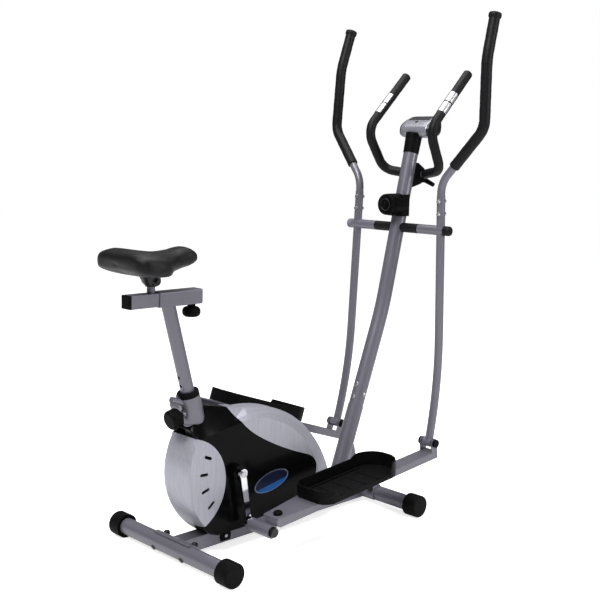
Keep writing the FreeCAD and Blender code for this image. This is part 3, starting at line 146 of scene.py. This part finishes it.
def surface(name, dark, light, rough, metal=0.0, scale=60.0, bump=0.0, bump_scale=400.0,
            stretch=(1.0, 1.0, 1.0), coat=0.0, coat_rough=0.1, pattern="noise", spec=0.5):
    """A Principled material with noise in its colour, roughness and bump."""
    mat = bpy.data.materials.new(name)
    mat.use_nodes = True
    nodes, links = mat.node_tree.nodes, mat.node_tree.links
    shader = nodes["Principled BSDF"]
    coords = nodes.new("ShaderNodeTexCoord")
    place = nodes.new("ShaderNodeMapping")
    place.inputs["Scale"].default_value = stretch
    links.new(coords.outputs["Object"], place.inputs["Vector"])
    noise = nodes.new("ShaderNodeTexNoise")
    noise.inputs["Scale"].default_value = scale
    noise.inputs["Detail"].default_value = COLOUR_DETAIL
    links.new(place.outputs[0], noise.inputs["Vector"])
    ramp = nodes.new("ShaderNodeValToRGB")
    for stop, position, colour in zip(ramp.color_ramp.elements, COLOUR_RANGE, (dark, light)):
        stop.position = position
        stop.color = (*colour, 1)
    links.new(noise.outputs["Fac"], ramp.inputs[0])
    links.new(ramp.outputs[0], shader.inputs["Base Color"])
    level = nodes.new("ShaderNodeMapRange")
    level.inputs["To Min"].default_value, level.inputs["To Max"].default_value = rough
    links.new(noise.outputs["Fac"], level.inputs["Value"])
    links.new(level.outputs[0], shader.inputs["Roughness"])
    shader.inputs["Metallic"].default_value = metal
    shader.inputs["Coat Weight"].default_value = coat
    shader.inputs["Coat Roughness"].default_value = coat_rough
    shader.inputs["Specular IOR Level"].default_value = spec
    if bump > 0:
        if pattern == "voronoi":
            grain = nodes.new("ShaderNodeTexVoronoi")
            height = grain.outputs["Distance"]
        else:
            grain = nodes.new("ShaderNodeTexNoise")
            grain.inputs["Detail"].default_value = GRAIN_DETAIL
            height = grain.outputs["Fac"]
        grain.inputs["Scale"].default_value = bump_scale
        links.new(place.outputs[0], grain.inputs["Vector"])
        relief = nodes.new("ShaderNodeBump")
        relief.inputs["Strength"].default_value = bump
        relief.inputs["Distance"].default_value = RELIEF_DEPTH
        links.new(height, relief.inputs["Height"])
        links.new(relief.outputs[0], shader.inputs["Normal"])
    return mat


def make_materials():
    """One material for each slot; the badges have their own, below."""
    return {
        "frame_paint": surface(
            "grey_enamel", (0.138, 0.133, 0.162), (0.165, 0.159, 0.192), rough=(0.30, 0.40),
            metal=0.35, scale=1200, bump=0.04, bump_scale=2500, coat=0.25, coat_rough=0.15, spec=0.4),
        "silver_shell": surface(
            "silver_plastic", (0.33, 0.33, 0.38), (0.40, 0.40, 0.455), rough=(0.30, 0.42), metal=0.35,
            scale=260, bump=0.03, bump_scale=2200, stretch=(1.0, 1.0, 0.05), coat=0.05, spec=0.3),
        "black_shell": surface(
            "gloss_black", (0.0012, 0.0012, 0.0014), (0.0022, 0.0022, 0.0026), rough=(0.18, 0.28),
            scale=30, coat=0.03, coat_rough=0.06, spec=0.05),
        "black_plastic": surface(
            "moulded_black", (0.002, 0.002, 0.0023), (0.004, 0.004, 0.0045), rough=(0.42, 0.55),
            scale=80, bump=0.12, bump_scale=1800, spec=0.05),
        "plate_plastic": surface(
            "tray_black", (0.003, 0.003, 0.0033), (0.006, 0.006, 0.0065), rough=(0.38, 0.5), scale=60,
            bump=0.15, bump_scale=1500, spec=0.05),
        "black_rubber": surface(
            "cap_rubber", (0.003, 0.003, 0.003), (0.006, 0.006, 0.006), rough=(0.45, 0.6), scale=50,
            bump=0.15, bump_scale=900, spec=0.05),
        "foam": surface(
            "grip_foam", (0.004, 0.004, 0.005), (0.008, 0.008, 0.009), rough=(0.40, 0.52), scale=300,
            bump=0.15, bump_scale=2600, spec=0.16),
        "saddle_cover": surface(
            "saddle_vinyl", (0.0035, 0.0035, 0.004), (0.007, 0.007, 0.008), rough=(0.34, 0.44),
            scale=90, bump=0.25, bump_scale=1400, pattern="voronoi", spec=0.22),
        "chrome": surface(
            "polished_chrome", (0.60, 0.60, 0.62), (0.72, 0.72, 0.74), rough=(0.06, 0.12), metal=1.0,
            scale=40),
        "steel": surface(
            "zinc_steel", (0.42, 0.42, 0.45), (0.56, 0.56, 0.58), rough=(0.22, 0.35), metal=1.0,
            scale=200, bump=0.1, bump_scale=900),
        "dark_steel": surface(
            "black_enamel", (0.005, 0.005, 0.006), (0.010, 0.010, 0.011), rough=(0.3, 0.42), scale=120,
            bump=0.05, bump_scale=900, coat=0.1, spec=0.3),
        "cast_iron": surface(
            "turned_iron", (0.05, 0.05, 0.055), (0.10, 0.10, 0.10), rough=(0.45, 0.6), metal=0.8,
            scale=150, bump=0.2, bump_scale=700),
        "belt": surface(
            "belt_rubber", (0.005, 0.005, 0.005), (0.01, 0.01, 0.01), rough=(0.6, 0.7), scale=200,
            bump=0.3, bump_scale=900),
        "sensor_metal": surface(
            "sensor_plate", (0.50, 0.50, 0.53), (0.60, 0.60, 0.63), rough=(0.26, 0.36), metal=0.8,
            scale=250),
        "screen": surface(
            "display_window", (0.006, 0.007, 0.008), (0.010, 0.011, 0.012), rough=(0.06, 0.1),
            scale=20, coat=0.5),
    }


class Field:
    """A value in a material's node tree that varies over the object, with plain arithmetic."""

    def __init__(self, tree, socket):
        self.tree, self.socket = tree, socket

    def apply(self, operation, other=None):
        node = self.tree.nodes.new("ShaderNodeMath")
        node.operation = operation
        for slot, value in zip(node.inputs, (self, other)):
            if isinstance(value, Field):
                self.tree.links.new(value.socket, slot)
            elif value is not None:
                slot.default_value = value
        return Field(self.tree, node.outputs[0])

    def __add__(self, other):
        return self.apply("ADD", other)

    def __sub__(self, other):
        return self.apply("SUBTRACT", other)

    def __mul__(self, other):
        return self.apply("MULTIPLY", other)

    def above(self, edge):
        return self.apply("GREATER_THAN", edge)

    def below(self, edge):
        return self.apply("LESS_THAN", edge)


def place_fields(mat):
    """x, y and z over the object, in metres."""
    tree = mat.node_tree
    coords = tree.nodes.new("ShaderNodeTexCoord")
    split = tree.nodes.new("ShaderNodeSeparateXYZ")
    tree.links.new(coords.outputs["Object"], split.inputs[0])
    return [Field(tree, out) for out in split.outputs]


def tint(mat, mask, colour):
    """Where the mask is 1 the material's own colour gives way to another."""
    tree = mat.node_tree
    base = tree.nodes["Principled BSDF"].inputs["Base Color"]
    mix = tree.nodes.new("ShaderNodeMix")
    mix.data_type = "RGBA"
    own = base.links[0].from_socket
    tree.links.new(mask.socket, mix.inputs["Factor"])
    tree.links.new(own, mix.inputs[6])
    mix.inputs[7].default_value = (*colour, 1)
    tree.links.new(mix.outputs[2], base)


BADGE_X, BADGE_Z = -0.142, 0.172
BADGE_HALF_LENGTH, BADGE_HALF_HEIGHT = 0.070, 0.029
BADGE_TILT = radians(10)
BADGE_BAND_TOP = -0.30                 # in half heights above the middle
BADGE_OUTLINE = (0.84, 0.93)           # squared shares of the half size
BADGE_BLUE = (0.006, 0.085, 0.30)
BADGE_PALE = (0.16, 0.17, 0.20)
CONSOLE_END_Y = 0.053
GREY_TRIM_Y = 0.188
GREY_TRIM = (0.16, 0.155, 0.19)


def badge_material():
    """A dark oval with a pale outline and a blue band along its lower edge."""
    mat = surface("badge_navy", (0.004, 0.006, 0.020), (0.007, 0.011, 0.036), rough=(0.25, 0.35), scale=25,
                  spec=0.2)
    x, _, z = place_fields(mat)
    along, up = x - BADGE_X, z - BADGE_Z
    u = (along * cos(BADGE_TILT) + up * sin(BADGE_TILT)) * (1 / BADGE_HALF_LENGTH)
    v = (up * cos(BADGE_TILT) - along * sin(BADGE_TILT)) * (1 / BADGE_HALF_HEIGHT)
    spread = u * u + v * v
    inner, outer = BADGE_OUTLINE
    tint(mat, v.below(BADGE_BAND_TOP), BADGE_BLUE)
    tint(mat, spread.above(inner) * spread.below(outer), BADGE_PALE)
    return mat


def console_material():
    """Grey pod with black ends."""
    mat = surface("console_grey", (0.20, 0.20, 0.235), (0.26, 0.26, 0.30), rough=(0.28, 0.38), metal=0.35,
                  scale=260, bump=0.03, bump_scale=2200, coat=0.2)
    y = place_fields(mat)[1]
    tint(mat, y.apply("ABSOLUTE").above(CONSOLE_END_Y), BLACK_PAINT)
    return mat


def axle_trim_material():
    """Black trim, grey on the left arm's outer side."""
    mat = surface("axle_trim_black", (0.004, 0.004, 0.0045), (0.008, 0.008, 0.009), rough=(0.40, 0.5),
                  scale=80, bump=0.1, bump_scale=1800, spec=0.15)
    y = place_fields(mat)[1]
    tint(mat, y.above(GREY_TRIM_Y), GREY_TRIM)
    return mat


def dress_cad(materials):
    """Every CAD node gets the material of its slot, and a few get one of their own."""
    special = {
        "badges": badge_material(),
        "console_shell": console_material(),
        "axle_trim": axle_trim_material(),
    }
    for part in frame["record"]["subparts"]:
        obj = frame["nodes"][part["node"]]
        mat = special.get(part["node"]) or materials[part["material_slot"]]
        if obj.material_slots:
            for slot in obj.material_slots:
                slot.material = mat
        else:
            obj.data.materials.append(mat)


# ---- mesh helpers ----
def add_object(name, mesh, slot, body, materials):
    """A smooth piece with its slot's material, riding a body."""
    obj = bpy.data.objects.new(name, mesh)
    bpy.context.collection.objects.link(obj)
    for face in mesh.polygons:
        face.use_smooth = True
    mesh.materials.append(materials[slot])
    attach(obj, body)
    return obj


def loft_mesh(name, rings):
    """A closed skin over rings with equal numbers of points, capped at both ends."""
    mesh = bpy.data.meshes.new(name)
    bm = bmesh.new()
    loops = [[bm.verts.new(p) for p in ring] for ring in rings]
    count = len(rings[0])
    for first, second in zip(loops, loops[1:]):
        for k in range(count):
            n = (k + 1) % count
            bm.faces.new((first[k], first[n], second[n], second[k]))
    bm.faces.new(list(reversed(loops[0])))
    bm.faces.new(loops[-1])
    bmesh.ops.recalc_face_normals(bm, faces=bm.faces)
    bm.to_mesh(mesh)
    bm.free()
    return mesh


def bent_line(points, radii, step):
    """Points and directions along straight runs joined by tangent arcs."""
    points = [V(p) for p in points]
    line = [points[0]]
    for i, radius in enumerate(radii):
        corner = points[i + 1]
        before = (corner - points[i]).normalized()
        after = (points[i + 2] - corner).normalized()
        half = before.angle(after) / 2
        reach = radius * sin(half) / cos(half)
        start = corner - before * reach
        centre = corner + (after - before).normalized() * (radius / cos(half))
        spoke = start - centre
        axis = before.cross(after).normalized()
        turns = max(3, int(radius * 2 * half / step))
        for k in range(turns + 1):
            line.append(centre + Matrix.Rotation(2 * half * k / turns, 3, axis) @ spoke)
    line.append(points[-1])
    dense = [line[0]]
    for a, b in zip(line, line[1:]):
        count = max(1, int((b - a).length / step))
        dense += [a.lerp(b, (k + 1) / count) for k in range(count)]
    return dense


def tube_rings(line, radius_at, count=28):
    """Rings square to a line, turned as little as possible from one to the next."""
    rings = []
    side = (line[1] - line[0]).orthogonal().normalized()
    total = sum((b - a).length for a, b in zip(line, line[1:]))
    run = 0.0
    for i, p in enumerate(line):
        ahead = line[min(i + 1, len(line) - 1)] - line[max(i - 1, 0)]
        ahead.normalize()
        side = (side - ahead * side.dot(ahead)).normalized()
        other = ahead.cross(side)
        r = radius_at(run, total)
        rings.append([p + (side * cos(2 * pi * k / count) + other * sin(2 * pi * k / count)) * r
                      for k in range(count)])
        if i + 1 < len(line):
            run += (line[i + 1] - p).length
    return rings


def curve_value(table, t):
    """Smooth value between the table's knots."""
    for i in range(len(table) - 1):
        if t <= table[i + 1][0] or i == len(table) - 2:
            break
    (t0, v0), (t1, v1) = table[i], table[i + 1]
    before = table[max(i - 1, 0)]
    after = table[min(i + 2, len(table) - 1)]
    m0 = (v1 - before[1]) / (t1 - before[0]) * (t1 - t0)
    m1 = (after[1] - v0) / (after[0] - t0) * (t1 - t0)
    u = min(max((t - t0) / (t1 - t0), 0.0), 1.0)
    return ((2 * u ** 3 - 3 * u ** 2 + 1) * v0 + (u ** 3 - 2 * u ** 2 + u) * m0
            + (3 * u ** 2 - 2 * u ** 3) * v1 + (u ** 3 - u ** 2) * m1)


# ---- saddle ----
SADDLE_REAR = -0.650
SADDLE_LENGTH = 0.259
SADDLE_HALF = [(0, 0.084), (0.03, 0.102), (0.08, 0.113), (0.16, 0.1185), (0.26, 0.1195), (0.36, 0.1135),
               (0.46, 0.093), (0.56, 0.069), (0.66, 0.053), (0.78, 0.044), (0.9, 0.038), (0.96, 0.031),
               (1, 0.020)]
SADDLE_TOP = [(0, 0.862), (0.04, 0.868), (0.12, 0.869), (0.3, 0.862), (0.5, 0.856), (0.65, 0.859),
              (0.8, 0.866), (0.9, 0.867), (0.97, 0.859), (1, 0.848)]
SADDLE_UNDER = [(0, 0.824), (0.04, 0.815), (0.12, 0.809), (0.3, 0.806), (0.42, 0.805), (0.5, 0.807),
                (0.6, 0.811), (0.75, 0.818), (0.9, 0.826), (1, 0.834)]
SADDLE_SKIN = 0.0015                   # the lofted form starts this far inside the tables
SADDLE_SKIN_UNDER = 0.4                # share of it on the underside
# height of the widest line: share over the wide part, and what the nose adds
SADDLE_WAIST, SADDLE_WAIST_GAIN = 0.24, 0.18
SADDLE_NOSE_FROM, SADDLE_NOSE_RUN = 0.5, 0.4
SADDLE_ROUND_TOP, SADDLE_ROUND_UNDER = 0.6, 0.4
SADDLE_STEPS = 40
SADDLE_VOXEL = 0.005
SADDLE_SMOOTHING = 2
CLOTH_FRAMES = 20
CLOTH_QUALITY = 6
CLOTH_MASS = 0.3
CLOTH_STRETCH = 18
CLOTH_BENDING = 2
CLOTH_PRESSURE = 4.0
CLOTH_CAP = 0.005


def saddle_ring(t, shrink, count=48):
    """The saddle's section at a share t of its length, rear to nose."""
    x = SADDLE_REAR + shrink + (SADDLE_LENGTH - 2 * shrink) * t
    half = curve_value(SADDLE_HALF, t) - shrink
    top = curve_value(SADDLE_TOP, t) - shrink
    under = curve_value(SADDLE_UNDER, t) + shrink * SADDLE_SKIN_UNDER
    waist = SADDLE_WAIST + SADDLE_WAIST_GAIN * min(max((t - SADDLE_NOSE_FROM) / SADDLE_NOSE_RUN, 0.0), 1.0)
    ring = []
    for k in range(count):
        angle = 2 * pi * k / count
        c, s = cos(angle), sin(angle)
        power = SADDLE_ROUND_TOP if s >= 0 else SADDLE_ROUND_UNDER
        y = half * (1 if c >= 0 else -1) * abs(c) ** power
        if s >= 0:
            z = under + (top - under) * (waist + (1 - waist) * sqrt(abs(s)))
        else:
            z = under + (top - under) * waist * (1 - sqrt(abs(s)))
        ring.append(V((x, y, z)))
    return ring


def apply_modifier(obj, modifier):
    """The modifier's result becomes the piece's own mesh."""
    with bpy.context.temp_override(object=obj, active_object=obj, selected_objects=[obj]):
        bpy.ops.object.modifier_apply(modifier=modifier.name)


def puff(obj, pressure, cap):
    """A short cloth run under pressure; no point ends more than cap from where it began."""
    before = [v.co.copy() for v in obj.data.vertices]
    cloth = obj.modifiers.new("puff", "CLOTH")
    cloth.settings.quality = CLOTH_QUALITY
    cloth.settings.mass = CLOTH_MASS
    cloth.settings.tension_stiffness = CLOTH_STRETCH
    cloth.settings.compression_stiffness = CLOTH_STRETCH
    cloth.settings.bending_stiffness = CLOTH_BENDING
    cloth.settings.use_pressure = True
    cloth.settings.uniform_pressure_force = pressure
    cloth.settings.effector_weights.gravity = 0
    cloth.point_cache.frame_start = 1
    cloth.point_cache.frame_end = CLOTH_FRAMES
    for number in range(1, CLOTH_FRAMES + 1):
        bpy.context.scene.frame_set(number)
    shape = obj.evaluated_get(bpy.context.evaluated_depsgraph_get()).to_mesh()
    after = [v.co.copy() for v in shape.vertices]
    obj.modifiers.remove(cloth)
    bpy.context.scene.frame_set(1)
    for vertex, start, end in zip(obj.data.vertices, before, after):
        move = end - start
        if move.length > cap:
            move = move.normalized() * cap
        vertex.co = start + move


def make_saddle(materials):
    """The padded saddle: lofted, remeshed evenly, puffed up as cloth and subdivided."""
    inner = [k / SADDLE_STEPS for k in range(1, SADDLE_STEPS)]
    stations = [0.0, 0.006, 0.015] + inner + [0.985, 0.994, 1.0]
    mesh = loft_mesh("saddle_pad", [saddle_ring(t, SADDLE_SKIN) for t in stations])
    pad = bpy.data.objects.new("saddle_pad", mesh)
    bpy.context.collection.objects.link(pad)
    remesh = pad.modifiers.new("even", "REMESH")
    remesh.mode = "VOXEL"
    remesh.voxel_size = SADDLE_VOXEL
    apply_modifier(pad, remesh)
    smooth = pad.modifiers.new("soften", "SMOOTH")
    smooth.iterations = SADDLE_SMOOTHING
    apply_modifier(pad, smooth)
    puff(pad, CLOTH_PRESSURE, CLOTH_CAP)
    divide = pad.modifiers.new("fine", "SUBSURF")
    divide.levels = 1
    divide.render_levels = 1
    apply_modifier(pad, divide)
    for face in pad.data.polygons:
        face.use_smooth = True
    pad.data.materials.clear()
    pad.data.materials.append(materials["saddle_cover"])
    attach(pad, "seat_slider")
    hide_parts("saddle")


# ---- foam ----
FOAM_R = 0.017
GRIP_R = 0.0155
RIGHT_HANDLE = [(0.4632, -0.176, 0.911), (0.4572, -0.176, 1.0428), (0.4695, -0.3195, 1.2116),
                (0.4660, -0.319, 1.4186), (0.4997, -0.318, 1.5573)]
LEFT_HANDLE = [(0.4648, 0.176, 0.911), (0.4708, 0.176, 1.0428), (0.4983, 0.3195, 1.2098),
               (0.5136, 0.319, 1.4163), (0.5597, 0.318, 1.5514)]
HANDLE_BENDS = (0.090, 0.075, 0.200)
HANDLEBAR = [(0.639, 0.128, 1.396), (0.446, 0.131, 1.207), (0.524, 0.120, 1.080), (0.5575, 0.030, 1.067)]
HANDLEBAR_BENDS = (0.060, 0.050)
FOAM_STEP = 0.004
FOAM_ROUNDING = 0.0035
RIM_LENGTH, RIM_RAMP = 0.016, 0.004
GRIP_RIM = 0.0027
GRIP_START = 0.006                     # above the bottom of the CAD grip
BAR_FOAM_FROM_Y = 0.027
UNEVEN = ((0.00018, 130, 1), (0.00012, 310, 2))    # height, frequency and share of the phase


def foam_radius(base, phase, rim):
    """Radius along a foam sleeve: rounded ends, a slight unevenness and a wider rim at the far end."""
    def radius(run, total):
        short = max(FOAM_ROUNDING - min(run, total - run), 0.0)
        drop = FOAM_ROUNDING - sqrt(max(FOAM_ROUNDING ** 2 - short ** 2, 0.0))
        lip = rim * min(max((run - total + RIM_LENGTH) / RIM_RAMP, 0.0), 1.0)
        waves = sum(high * sin(run * often + share * phase) for high, often, share in UNEVEN)
        return base + lip - drop + waves
    return radius


def foam_piece(name, line, base, rim, node, body, phase, materials):
    """A foam sleeve along a line, standing for a CAD node."""
    mesh = loft_mesh(name, tube_rings(line, foam_radius(base, phase, rim)))
    obj = add_object(name, mesh, "foam", body, materials)
    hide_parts(node)


def close_ends(line):
    """More points near both ends, so that their rounding shows."""
    first = [line[0].lerp(line[1], k / 5) for k in range(5)]
    last = [line[-2].lerp(line[-1], k / 5) for k in range(1, 6)]
    return first + line[1:-1] + last


def make_foam(materials):
    """The long grips on the two upper handles, then those on the fixed handlebar."""
    for name, points, phase in (("right", RIGHT_HANDLE, 0.0), ("left", LEFT_HANDLE, 1.7)):
        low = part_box(name + "_grip")[0].z + GRIP_START
        line = close_ends([p for p in bent_line(points, HANDLE_BENDS, FOAM_STEP) if p.z > low])
        foam_piece(name + "_grip_foam", line, FOAM_R, GRIP_RIM, name + "_grip", name + "_arm", phase,
                   materials)
    for name, side in (("left", 1), ("right", -1)):
        points = [(x, side * y, z) for x, y, z in HANDLEBAR]
        line = bent_line(points, HANDLEBAR_BENDS, FOAM_STEP)
        line = close_ends([p for p in line if abs(p.y) > BAR_FOAM_FROM_Y])
        foam_piece(name + "_bar_foam", line, GRIP_R, 0.0, "handlebar_grips", "handlebar", side, materials)


# ---- small trim ----
DIAL_RING_R, DIAL_RING_WIRE = 0.0185, 0.0016
DIAL_HUB_R, DIAL_HUB_HEIGHT, DIAL_HUB_SUNK = 0.0095, 0.005, 0.001
CLIP_PLACE = (-0.290, 0.0250, 0.034)   # x, distance from the middle and z
CLIP_OUTLINE = [(-0.017, -0.014), (0.017, -0.014), (0.019, 0.0),
                (0.017, 0.016), (-0.017, 0.016), (-0.019, 0.0)]
CLIP_STEPS = ((-0.0005, 1.0), (0.004, 1.0), (0.0055, 0.9))     # depth and share of the outline
CLIP_SCREW_AT, CLIP_SCREW_R, CLIP_SCREW_HEIGHT = 0.005, 0.0055, 0.0028
DOME_STEPS = ((0.0, 1.0), (0.35, 1.0), (0.6, 0.93), (0.82, 0.72), (0.95, 0.4), (1.0, 0.12))


def ring_mesh(name, centre, axis, major, minor, count=40, around=10):
    """A torus, built as rings round its axis."""
    axis = V(axis).normalized()
    side = axis.orthogonal().normalized()
    other = axis.cross(side)
    mesh = bpy.data.meshes.new(name)
    bm = bmesh.new()
    loops = []
    for k in range(count):
        a = 2 * pi * k / count
        out = side * cos(a) + other * sin(a)
        loops.append([bm.verts.new(V(centre) + out * (major + minor * cos(2 * pi * j / around))
                                   + axis * minor * sin(2 * pi * j / around)) for j in range(around)])
    for i in range(count):
        for j in range(around):
            n = (j + 1) % around
            bm.faces.new((loops[i][j], loops[i][n], loops[(i + 1) % count][n], loops[(i + 1) % count][j]))
    bmesh.ops.recalc_face_normals(bm, faces=bm.faces)
    bm.to_mesh(mesh)
    bm.free()
    return mesh


def dome_mesh(name, base, axis, radius, height, count=24):
    """A low dome on a short collar, like a screw or cap head."""
    axis = V(axis).normalized()
    side = axis.orthogonal().normalized()
    other = axis.cross(side)
    rings = []
    for up, size in DOME_STEPS:
        rings.append([V(base) + axis * height * up + (side * cos(2 * pi * k / count)
                      + other * sin(2 * pi * k / count)) * radius * size for k in range(count)])
    return loft_mesh(name, rings)


def make_trim(materials):
    """A ring and hub on the tension dial, and a clip with its screw on each side of the long beam."""
    low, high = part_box("tension_dial")
    face = V((low.x, (low.y + high.y) / 2, (low.z + high.z) / 2))
    ring = ring_mesh("dial_ring", face, (1, 0, 0), DIAL_RING_R, DIAL_RING_WIRE)
    add_object("dial_ring", ring, "dark_steel", "tension_dial", materials)
    sunk = face + V((DIAL_HUB_SUNK, 0, 0))
    hub = dome_mesh("dial_hub", sunk, (-1, 0, 0), DIAL_HUB_R, DIAL_HUB_HEIGHT)
    add_object("dial_hub", hub, "black_plastic", "tension_dial", materials)
    x, y, z = CLIP_PLACE
    for which, side in (("right", -1), ("left", 1)):
        clip = V((x, side * y, z))
        rings = [[clip + V((a * size, side * depth, b * size)) for a, b in CLIP_OUTLINE]
                 for depth, size in CLIP_STEPS]
        name = "beam_clip_" + which
        add_object(name, loft_mesh(name, rings), "black_plastic", "frame", materials)
        name = "clip_screw_" + which
        base = clip + V((0, side * CLIP_SCREW_AT, 0))
        screw = dome_mesh(name, base, (0, side, 0), CLIP_SCREW_R, CLIP_SCREW_HEIGHT)
        add_object(name, screw, "steel", "frame", materials)


# ---- floor ----
FLOOR_HALF = 15.0
FLOOR_DROP = 0.0005
FLOOR_GLOW = (0.05, 0.72)              # for other rays and for the camera's


def make_floor():
    """A wide pale floor that blends into the backdrop."""
    mesh = bpy.data.meshes.new("floor")
    bm = bmesh.new()
    bmesh.ops.create_grid(bm, x_segments=8, y_segments=8, size=FLOOR_HALF)
    bm.to_mesh(mesh)
    bm.free()
    floor = bpy.data.objects.new("floor", mesh)
    floor.location.z = -FLOOR_DROP
    bpy.context.collection.objects.link(floor)
    pale = surface("pale_floor", (0.86, 0.86, 0.86), (0.90, 0.90, 0.90), rough=(0.6, 0.7), scale=2.0)
    glow = pale.node_tree.nodes["Principled BSDF"]
    glow.inputs["Emission Color"].default_value = (*WHITE, 1)
    links = pale.node_tree.links
    ray = pale.node_tree.nodes.new("ShaderNodeLightPath")
    level = pale.node_tree.nodes.new("ShaderNodeMapRange")
    level.inputs["To Min"].default_value, level.inputs["To Max"].default_value = FLOOR_GLOW
    links.new(ray.outputs["Is Camera Ray"], level.inputs["Value"])
    links.new(level.outputs[0], glow.inputs["Emission Strength"])
    mesh.materials.append(pale)


make_camera()
make_world()
make_lights()
make_floor()
MATERIALS = make_materials()
dress_cad(MATERIALS)
make_saddle(MATERIALS)
make_foam(MATERIALS)
make_trim(MATERIALS)
